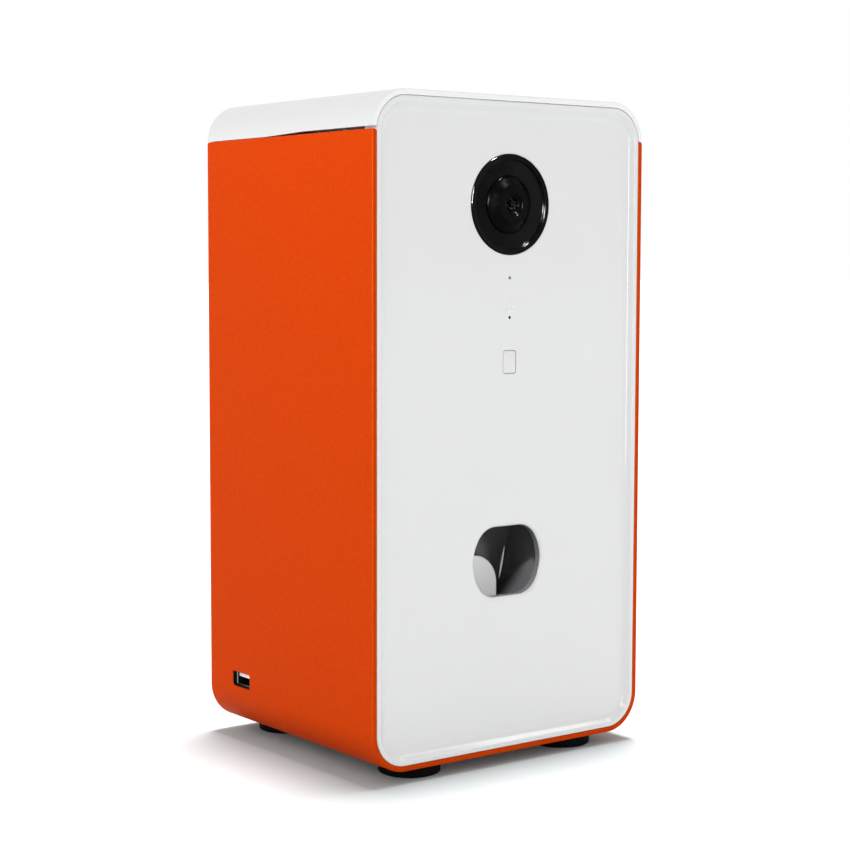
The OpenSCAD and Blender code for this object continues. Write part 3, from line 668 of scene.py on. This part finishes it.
def build_panel():
    prof = [(6.6, YFIELD), (5.9, -58.11), (5.25, -58.16), (4.7, -58.27), (4.25, -58.43), (3.85, -58.65),
            (3.5, -58.91), (3.15, -59.21), (2.8, -59.52), (2.5, -59.78), (2.25, -60.0), (2.05, -60.18),
            (1.9, -60.31), (1.72, -60.42), (1.5, -60.5)]
    prof += [(0.36, YF), (0.22, -60.47), (0.11, -60.4), (0.035, -60.28), (0.0, -60.12)]
    prof += [(0.0, -60.03), (-0.07, -59.94), (-0.07, -53.0), (0.0, -52.88), (0.0, -52.2), (0.2, -52.0), (1.8, -52.0), (2.0, -52.2), (2.0, YBACK)]
    rings = [along_y(rr_ring(-PX, PX, PZ0, PZ1 + (0.32 if d < 0 else 0.12), PR, d, n=20), y) for d, y in prof]
    ob = piece("panel_shell", *loft(rings), PANEL_WHITE)
    boss = []
    for x in (-56, 56):
        for z in (40, 130, 236):
            boss.append(loft([along_y(circle(x, z, r, 40), y) for r, y in
                              ((3.5, -56.4), (3.5, -50.3), (3.2, -50.0))]))
    boolean(ob, piece("bosses", *merge(*boss), PANEL_WHITE), "UNION")
    cut = []
    for x in (-56, 56):
        for z in (40, 130, 236):
            cut.append(loft([along_y(circle(x, z, 1.2, 24), y) for y in (-54.6, -49.0)]))
    cut.append(loft([along_y(circle(0, ZCAM, 20.1 + e, 161), y) for e, y in flare(0.3, YFIELD, -50)]))
    for z in (ZMIC, ZLED):
        cut.append(loft([along_y(circle(0, z, 0.65 + e, 41), y) for e, y in flare(0.14, YFIELD, -50, n=4)]))
    cut.append(loft([along_y(rr_ring(-3.45 - e, 3.45 + e, ZBUT - 4.8 - e, ZBUT + 4.8 + e, 1.3 + e, n=12), y)
                     for e, y in flare(0.12, YFIELD, -50, n=4)]))
    cut.append(loft([along_y(outlet_ring(e), y) for e, y in 
                     [(1.35, YFIELD - 1.0)] + [(1.35 - 1.9 * math.sin(a), YFIELD + 1.9 * (1 - math.cos(a)))
                                               for a in (math.radians(5 + 55 * k / 10) for k in range(11))]
                     + [(-0.3, -57.05), (-0.3, -50.0)]]))
    boolean(ob, piece("cutter", *merge(*cut), PANEL_WHITE))
    tidy(ob, 28, planes=((1, YFIELD),))
    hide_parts("front_panel")
    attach(ob, "body")
    # raised arcs over the status light, in a lighter white than the panel: a painted highlight on the ridges
    arcs = [arc_bar(0, ZLED, 2.65, 0.56, YFIELD + 0.26, 40, 140), arc_bar(0, ZLED, 4.95, 0.62, YFIELD + 0.3, 40, 140)]
    marks = piece("light_arcs", *merge(*arcs), ARC_HIGHLIGHT_WHITE)
    tidy(marks, 60)
    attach(marks, "body")
    return ob


build_panel()


# ------------------------------------------------------------------ rear cover

def build_rear():
    prof = [(0.9, 59.5), (0.62, 59.46), (0.36, 59.34), (0.16, 59.14), (0.04, 58.88), (0, 58.6), (0, 51.8),
            (0.2, 51.6), (1.8, 51.6), (2.0, 51.8), (2.0, 57.3)]
    ob = piece("rear_shell", *loft([along_y(rr_ring(-PX, PX, PZ0, PZ1, PR, d, n=20), y) for d, y in prof]),
               REAR_WHITE)
    boss = []
    for x in (-56, 56):
        for z in (40, 130, 236):
            boss.append(loft([along_y(circle(x, z, r, 40), y) for r, y in ((3.7, 49.0), (4.0, 49.3), (4.0, 58.0))]))
    boolean(ob, piece("bosses", *merge(*boss), REAR_WHITE), "UNION")
    cut = []
    for x in (-56, 56):
        for z in (40, 130, 236):
            fl = flare(0.35, 59.5, 54.0, n=5)
            rings = [along_y(circle(x, z, 3.2 + e, 40), y) for e, y in fl]
            rings += [along_y(circle(x, z, 1.7, 40), y) for y in (54.0, 48.0)]
            cut.append(loft(rings))
    holes = [(0, 60)] + [(5.5 * math.cos(math.radians(60 * k)), 60 + 5.5 * math.sin(math.radians(60 * k)))
                         for k in range(6)]
    holes += [(11 * math.cos(math.radians(30 * k)), 60 + 11 * math.sin(math.radians(30 * k))) for k in range(12)]
    for x, z in holes:
        cut.append(loft([along_y(circle(x, z, 1.4 + e, 32), y) for e, y in flare(0.3, 59.5, 56.0, n=4)]))
    for k in range(6):
        z = 197 + 6 * k
        cut.append(loft([along_y(rr_ring(-20 - e, 20 + e, z - 1 - e, z + 1 + e, 0.99 + e, n=8), y)
                         for e, y in flare(0.3, 59.5, 56.0, n=4)]))
    boolean(ob, piece("cutter", *merge(*cut), REAR_WHITE))
    tidy(ob, 28, planes=((1, 59.5),))
    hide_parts("rear_cover")
    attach(ob, "body")
    return ob


build_rear()


# ------------------------------------------------------------------ camera

def build_camera():
    prof = fillet([(11.6, -54.0, 0.1), (22.5, -54.0, 0.2), (22.5, -55.5, 0.2), (20.0, -55.5, 0.05),
                   (20.0, -58.6, 0.5), (17.85, -58.6, 0.35), (17.62, -57.38, 0.3), (11.6, -57.16, 0.12)], n=6)
    ob = piece("bezel_ring", *turned_y(0, ZCAM, prof, 160), BEZEL_BLACK)
    tidy(ob, 40)
    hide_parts("camera_bezel")
    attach(ob, "body")
    prof = fillet([(3.05, -50.0, 0), (3.05, -58.9, 0.08), (3.5, -59.2, 0.04), (3.5, -59.45, 0.04), (3.95, -59.6, 0.04),
                   (3.95, -59.9, 0.04), (4.45, -60.05, 0.1), (4.55, -60.2, 0.1), (7.75, -60.2, 0.42), (10.55, -58.2, 0.15),
                   (11.3, -57.95, 0.3), (11.38, -57.2, 0.05), (11.4, -50.0, 0)], n=5)
    ob = piece("barrel_ring", *turned_y(0, ZCAM, prof, 128), BARREL_BLACK)
    tidy(ob, 40)
    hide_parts("camera_barrel")
    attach(ob, "body")
    # polished ring on the barrel's front face
    prof = fillet([(4.75, -60.1, 0), (4.75, -60.26, 0.05), (7.3, -60.26, 0.08), (7.3, -60.1, 0)], n=4)
    ring = piece("barrel_face", *turned_y(0, ZCAM, prof, 128), BEZEL_BLACK)
    tidy(ring, 40)
    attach(ring, "body")
    # lens: black core with a stepped throat under a glass dome
    core = [(2.98, -55.0), (2.98, -58.4), (2.3, -58.4), (2.2, -57.9), (1.75, -57.8), (1.65, -57.3), (1.25, -57.2),
            (1.15, -56.7), (0.02, -56.6)]
    ob2 = piece("lens_core", *turned_y(0, ZCAM, core, 96, closed=False), IRIS_BLACK)
    tidy(ob2, 30)
    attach(ob2, "body")
    dome = [(0.02, -59.5)]
    for k in range(1, 13):
        r = 2.99 * k / 12
        dome.append((r, -59.5 + 0.8 * (r / 2.99) ** 2.2))
    dome += [(2.99, -58.42), (0.02, -58.42)]
    ob3 = piece("lens_dome", *turned_y(0, ZCAM, dome, 96, closed=False), GLASS)
    tidy(ob3, 40)
    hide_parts("camera_lens")
    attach(ob3, "body")


build_camera()


# ------------------------------------------------------------------ button

def build_button():
    rings = []
    for d, y in ((1.25, -58.08), (1.12, -58.09), (1.0, -58.17), (0.88, -58.24), (0.74, -58.25), (0.52, -58.24),
                 (0.34, -58.14), (0.18, -57.98), (0.06, -57.8),
                 (0.0, -57.6), (-0.04, -57.52), (-0.125, -57.5), (-0.125, -57.2), (0.0, -57.1), (0.0, -55.4)):
        rings.append(along_y(rr_ring(-3.3, 3.3, ZBUT - 4.65, ZBUT + 4.65, 1.2, d * 0.92, n=10), y))
    for d, y in ((-1.2, -55.4), (-1.2, -54.5)):
        rings.append(along_y(rr_ring(-3.3, 3.3, ZBUT - 4.65, ZBUT + 4.65, 1.0, d, n=10), y))
    ob = piece("button_cap", *loft(rings), BUTTON_WHITE)
    tidy(ob, 30)
    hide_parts("pairing_button")
    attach(ob, "button")
    prof = [(0.02, -58.0), (0.35, -57.99), (0.55, -57.93), (0.62, -57.8), (0.62, -55.4), (1.8, -55.4), (1.8, -54.6),
            (1.0, -54.4), (1.0, -51.3), (0.02, -51.3)]
    ob = piece("light_pin", *turned_y(0, ZLED, prof, 48, closed=False), PIPE)
    tidy(ob, 30)
    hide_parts("light_pipe")
    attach(ob, "body")


build_button()


# ------------------------------------------------------------------ paddle

def build_paddle():
    py, pz = -34.4, 46.0

    def outline(e):
        pts = [(12.5 - e, pz + e)]
        for k in range(41):
            a = math.pi * k / 40
            pts.append(((12.5 - e) * math.cos(a), 70 + (12.5 - e) * math.sin(a)))
        pts.append((-12.5 + e, pz + e))
        return pts
    rings = []
    for e, t in ((0.75, 0.0), (0.5, 0.04), (0.27, 0.16), (0.1, 0.34), (0.0, 0.62), (0.0, 1.75), (0.13, 2.0),
                 (0.4, 2.2)):
        rings.append(along_y(outline(e), -35.5 + t))
    ob = piece("paddle_blade", *loft(rings), PADDLE_GREY)
    hub = turned_x(py, pz, [(4.2, -12.5), (4.5, -12.2), (4.5, 12.2), (4.2, 12.5)], 64)
    rib = loft([along_x([(py, pz), (py + 4.4, pz), (py + 1.2, pz + 24), (py, pz + 24)], x) for x in (-1, 1)])
    boolean(ob, piece("hub", *hub, PADDLE_GREY), "UNION")
    boolean(ob, piece("rib", *rib, PADDLE_GREY), "UNION")
    boolean(ob, piece("bore", *turned_x(py, pz, [(2.0, -13.5), (2.0, 13.5)], 48), PADDLE_GREY))
    tidy(ob, 32)
    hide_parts("launch_paddle")
    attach(ob, "paddle")


build_paddle()


def build_highlight_bead():
    """Slim pale polished bead in the corner between the trough's back wall and its right side: a painted highlight
    that stands for the glint along that corner.
    """
    rings = []
    for k in range(25):
        s = k / 24
        z = 70.2 + 13.9 * s
        r = 0.05 + 0.52 * math.sin(math.pi * min(1.0, s * 0.98)) ** 0.8 * (1 - 0.35 * s)
        rings.append(along_z(circle(19.75, -27.9 - 0.252 * (z - 69.9), r, 20), z))
    ob = piece("chamber_bead", *loft(rings), HIGHLIGHT_BEAD_WHITE)
    tidy(ob, 60)
    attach(ob, "body")


build_highlight_bead()


def build_outlet_band():
    """Dark grey band just inside the outlet, from inside its rounded lip back to the trough; it darkens the outlet's
    wall behind the lip.
    """
    prof = [(-0.28, -56.95), (-0.32, -57.04), (-0.38, -57.04), (-0.44, -56.95), (-0.46, -56.8),
            (-0.46, -54.6), (-0.40, -54.4), (-0.28, -54.4)]
    ob = piece("outlet_liner", *loft([along_y(outlet_ring(e), y) for e, y in prof], closed=True), OUTLET_BAND_GREY)
    tidy(ob, 40)
    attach(ob, "body")


build_outlet_band()


# ------------------------------------------------------------------ power port

def build_port():
    y0, y1, z0, z1 = 29.45, 42.55, 23.5, 29.2
    # pressed shell: outer skin, rolled mouth, inner skin, closed at the far end
    prof = [(0.0, -53.2), (0.0, -66.9), (0.1, -67.15), (0.22, -67.2), (0.33, -67.1), (0.35, -66.8), (0.35, -53.6)]
    rings = [along_x(rr_ring(y0, y1, z0, z1, 0.75, d, n=6), x) for d, x in prof]
    ob = piece("port_shell", *loft(rings), PORT_STEEL)
    cut = []
    for y in (32.6, 39.4):
        for z in (22.9, 28.85):
            cut.append(loft([along_z(rr_pts, zz) for zz in (z, z + 0.9)
                             for rr_pts in [rr_ring(-63.5, -59.0, y - 0.9, y + 0.9, 0.4, n=4)]]))
    boolean(ob, piece("cutter", *merge(*cut), STEEL))
    tidy(ob, 32)
    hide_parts("usb_shell")
    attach(ob, "body")
    # black ring round the shell, inside the sleeve's opening: painted shade on the opening's wall
    prof = [(-0.23, -66.95), (-0.23, -68.86), (-0.2, -68.9), (-0.16, -68.86), (-0.16, -67.0)]
    ob = piece("port_surround", *loft([along_x(rr_ring(y0, y1, z0, z1, 0.75, d, n=6), x) for d, x in prof],
                                      closed=True), SWITCH_AND_SHADE_BLACK)
    tidy(ob, 32)
    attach(ob, "body")
    # black lining behind the rolled mouth: painted shade inside the port
    prof = [(0.355, -53.7), (0.355, -66.72), (0.40, -66.78), (0.46, -66.72), (0.46, -54.0)]
    ob = piece("port_lining", *loft([along_x(rr_ring(y0, y1, z0, z1, 0.75, d, n=6), x) for d, x in prof]), SWITCH_AND_SHADE_BLACK)
    tidy(ob, 32)
    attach(ob, "body")
    # contact tongue with four strips
    prof = [(0.35, -66.8), (0.1, -66.72), (0.0, -66.45), (0.0, -53.6)]
    ob = piece("port_tongue", *loft([along_x(rr_ring(30.6, 41.4, 26.95, 28.66, 0.3, d, n=4), x) for d, x in prof]),
               PORT_WHITE)
    cut = [loft([along_x(rr_ring(c - 0.6, c + 0.6, 26.9, 27.2, 0.05, n=2), x) for x in (-66.2, -54.5)])
           for c in (32.5, 34.8, 37.2, 39.5)]
    boolean(ob, piece("cutter", *merge(*cut), PORT_WHITE))
    tidy(ob, 32)
    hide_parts("usb_tongue")
    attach(ob, "body")
    strips = [loft([along_x(rr_ring(c - 0.5, c + 0.5, 27.02, 27.19, 0.04, d, n=2), x)
                    for d, x in ((0.03, -66.1), (0.0, -65.9), (0.0, -54.6))]) for c in (32.5, 34.8, 37.2, 39.5)]
    ob = piece("port_contacts", *merge(*strips), GOLD)
    tidy(ob, 32, weighted=False)
    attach(ob, "body")


build_port()


# ------------------------------------------------------------------ feet

def build_feet():
    prof = fillet([(1.7, 2.6, 0), (4.5, 2.6, 0.15), (4.5, 0.0, 0.25), (12.6, 0.0, 0.95), (12.6, 5.0, 0.45),
                   (1.7, 5.0, 0)], n=6)
    parts = [turned_z(x, y, prof, 96) for x in (-40, 40) for y in (-44.8, 44.8)]
    ob = piece("foot_pads", *merge(*parts), RUBBER)
    tidy(ob, 35)
    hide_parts("rubber_feet")
    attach(ob, "body")


build_feet()

# ------------------------------------------------------------------ finishes of the CAD nodes that stay

FINISH = {
    "lid_seal": SEAL, "base_plate": FRAME_GREY, "frame_left": FRAME_GREY, "frame_right": FRAME_GREY,
    "motor_deck": FRAME_GREY, "treat_hopper": HOPPER_WHITE, "metering_shield": HOPPER_WHITE,
    "metering_tray": HOPPER_WHITE, "metering_rotor": ROTOR_ORANGE, "rotor_shaft": STEEL_Z, "rotor_bush": BRASS,
    "rotor_gear": GEAR, "rotor_motor": MOTOR, "rotor_pinion": BRASS, "drop_chute": CHAMBER_DARK,
    "launch_chamber": CHAMBER_DARK, "paddle_cover": CHAMBER_DARK, "paddle_shaft": STEEL, "paddle_gear": GEAR,
    "paddle_spring": SPRING, "shaft_clips": SPRING, "launch_motor": MOTOR, "winder_pinion": BRASS,
    "camera_board": BOARD, "camera_ribbon": RIBBON, "tact_switch": SWITCH_AND_SHADE_BLACK, "front_board": BOARD, "status_led": LED,
    "microphone": STEEL, "main_board": BOARD, "wifi_module": STEEL, "speaker": SPEAKER, "usb_board": BOARD,
    "foot_screws": SCREW, "panel_screws": SCREW, "rear_screws": SCREW,
}
for node, mat in FINISH.items():
    ob = NODES[node]
    if not ob.material_slots:
        ob.data.materials.append(mat)
    for s in ob.material_slots:
        s.material = mat

# ------------------------------------------------------------------ floor, light and camera

me = bpy.data.meshes.new("studio_floor")
bm = bmesh.new()
bmesh.ops.create_grid(bm, x_segments=8, y_segments=8, size=12.0)
bm.to_mesh(me)
bm.free()
floor = bpy.data.objects.new("studio_floor", me)
scene.collection.objects.link(floor)
fm, nt, p = _new("floor_paper")
tc = nt.nodes.new("ShaderNodeTexCoord").outputs["Object"]
nt.links.new(_mix(nt, _range(nt, _noise(nt, tc, 40.0), 0.0, 1.0), (0.43, 0.475, 0.478), (0.44, 0.485, 0.487)),
             p.inputs["Base Color"])
p.inputs["Roughness"].default_value = 0.9
p.inputs["Specular IOR Level"].default_value = 0.0
me.materials.append(fm)

world = bpy.data.worlds.new("studio")
scene.world = world
world.use_nodes = True
bg = world.node_tree.nodes["Background"]
bg.inputs["Color"].default_value = (1.0, 1.0, 1.0, 1.0)
bg.inputs["Strength"].default_value = 1.0


def aim(ob, target):
    d = Vector(target) - ob.location
    ob.rotation_euler = d.to_track_quat("-Z", "Y").to_euler()


# overhead light for the floor paper, a little from the right
sun = bpy.data.lights.new("floor_light", "SUN")
sun.energy = 6.4
sun.color = (1.0, 0.89, 0.885)
sun.angle = math.radians(13)
so = bpy.data.objects.new("floor_light", sun)
scene.collection.objects.link(so)
so.location = (0.12, 0.085, 1.5)
aim(so, (0, 0, 0))
paper = bpy.data.collections.new("paper_only")
paper.objects.link(floor)
so.light_linking.receiver_collection = paper
# shadowless fill for the floor paper
sun2 = bpy.data.lights.new("floor_fill", "SUN")
sun2.energy = 0.18
sun2.color = (0.7, 1.0, 1.0)
sun2.use_shadow = False
so2 = bpy.data.objects.new("floor_fill", sun2)
scene.collection.objects.link(so2)
so2.location = (0, 0, 1.5)
aim(so2, (0, 0, 0))
so2.light_linking.receiver_collection = paper


def strip(name, loc, size, power, target=(0, 0, 0.14), diffuse=False):
    li = bpy.data.lights.new(name, "AREA")
    li.shape = "RECTANGLE"
    li.size, li.size_y = size
    li.energy = power
    ob = bpy.data.objects.new(name, li)
    scene.collection.objects.link(ob)
    ob.location = loc
    aim(ob, target)
    ob.visible_camera = False
    ob.visible_diffuse = diffuse
    return ob


strip("strip_left", (-1.35, -0.62, 0.42), (0.16, 0.9), 5.0)


def only_for(light, name, objects):
    c = bpy.data.collections.new(name)
    for o in objects:
        c.objects.link(o)
    light.light_linking.receiver_collection = c


# soft light from above on the coloured side
side = strip("side_light", (-0.35, -0.05, 0.62), (0.25, 0.25), 1.8, target=(-0.07, 0.0, 0.24), diffuse=True)
side.visible_glossy = False
only_for(side, "sleeve_only", [bpy.data.objects["sleeve_shell"]])
edge = strip("edge_light", (-0.96, -0.86, 0.20), (0.15, 0.90), 1600.0, target=(-0.07, -0.06, 0.14))
only_for(edge, "sleeve_only_2", [bpy.data.objects["sleeve_shell"]])
# small bright cards for the glints on the black ring and barrel
glint = strip("glint_left", (-0.96, -0.86, 0.565), (0.10, 0.60), 1300.0, target=(0, -0.05, 0.227))
black_parts = [bpy.data.objects[n] for n in ("bezel_ring", "barrel_ring", "lens_dome")]
only_for(glint, "black_parts", black_parts)
glint2 = strip("glint_top", (0.22, -0.43, 1.34), (0.15, 0.15), 420.0, target=(0, -0.05, 0.227))
only_for(glint2, "black_parts_2", black_parts)
card = strip("card_right", (0.80, -1.15, 0.30), (0.16, 0.30), 0.2, target=(0, -0.05, 0.227))
only_for(card, "black_parts_3", black_parts)
# fill for the paddle and the trough
fill = strip("outlet_fill", (-0.50, -0.75, 1.05), (0.2, 0.2), 46.0, target=(0, -0.04, 0.08), diffuse=True)
fill.visible_glossy = False
only_for(fill, "outlet_only", [bpy.data.objects["chamber_bead"], bpy.data.objects["outlet_liner"],
                               NODES["launch_chamber"], NODES["drop_chute"]])
fill2 = strip("outlet_fill_front", (0.25, -1.15, 0.42), (0.2, 0.2), 12.0, target=(0, -0.04, 0.08), diffuse=True)
fill2.visible_glossy = False
only_for(fill2, "outlet_only_2", [NODES["launch_chamber"], NODES["drop_chute"]])
fill3 = strip("paddle_fill", (-0.30, -1.0, 0.35), (0.25, 0.25), 4.6, target=(0, -0.04, 0.08), diffuse=True)
fill3.visible_glossy = False
only_for(fill3, "outlet_only_3", [bpy.data.objects["paddle_blade"], bpy.data.objects["chamber_bead"]])
# upright strip for the raised edges of the front
rim = strip("front_glint", (-0.45, -1.07, 0.15), (0.10, 1.0), 3.6, target=(0, -0.06, 0.14))
only_for(rim, "front_edges", [bpy.data.objects["panel_shell"], bpy.data.objects["button_cap"]])
rim2 = strip("front_glint_high", (0.74, -0.62, 0.92), (0.6, 0.10), 0.75, target=(0, -0.06, 0.14))
only_for(rim2, "front_edges_2", [bpy.data.objects["panel_shell"], bpy.data.objects["button_cap"]])
# key light of the front, from above and the left
key = bpy.data.lights.new("front_key", "SUN")
key.energy = 0.45
key.angle = math.radians(30)
ko = bpy.data.objects.new("front_key", key)
scene.collection.objects.link(ko)
ko.location = (-0.4, -2.6, 2.2)
aim(ko, (0, -0.06, 0.14))
ko.visible_glossy = False
only_for(ko, "front_only", [bpy.data.objects["panel_shell"], bpy.data.objects["button_cap"],
                            bpy.data.objects["light_arcs"]])

cam = bpy.data.cameras.new("camera")
cam.sensor_width = 36.0
cam.lens = 82.07
cam.clip_start = 0.01
cam.clip_end = 60.0
co = bpy.data.objects.new("camera", cam)
scene.collection.objects.link(co)
yaw, pitch, roll = math.radians(37.10), math.radians(-4.97), math.radians(0.13)
fwd = Vector((math.sin(yaw) * math.cos(pitch), math.cos(yaw) * math.cos(pitch), math.sin(pitch)))
right = Vector((math.cos(yaw), -math.sin(yaw), 0))
up = right.cross(fwd)
r2 = right * math.cos(roll) + up * math.sin(roll)
u2 = up * math.cos(roll) - right * math.sin(roll)
rot = Matrix((r2, u2, -fwd)).transposed()
co.matrix_world = Matrix.Translation(Vector((-0.49706, -0.65902, 0.20623))) @ rot.to_4x4()
scene.camera = co
scene.view_settings.view_transform = "Standard"
scene.view_settings.look = "None"
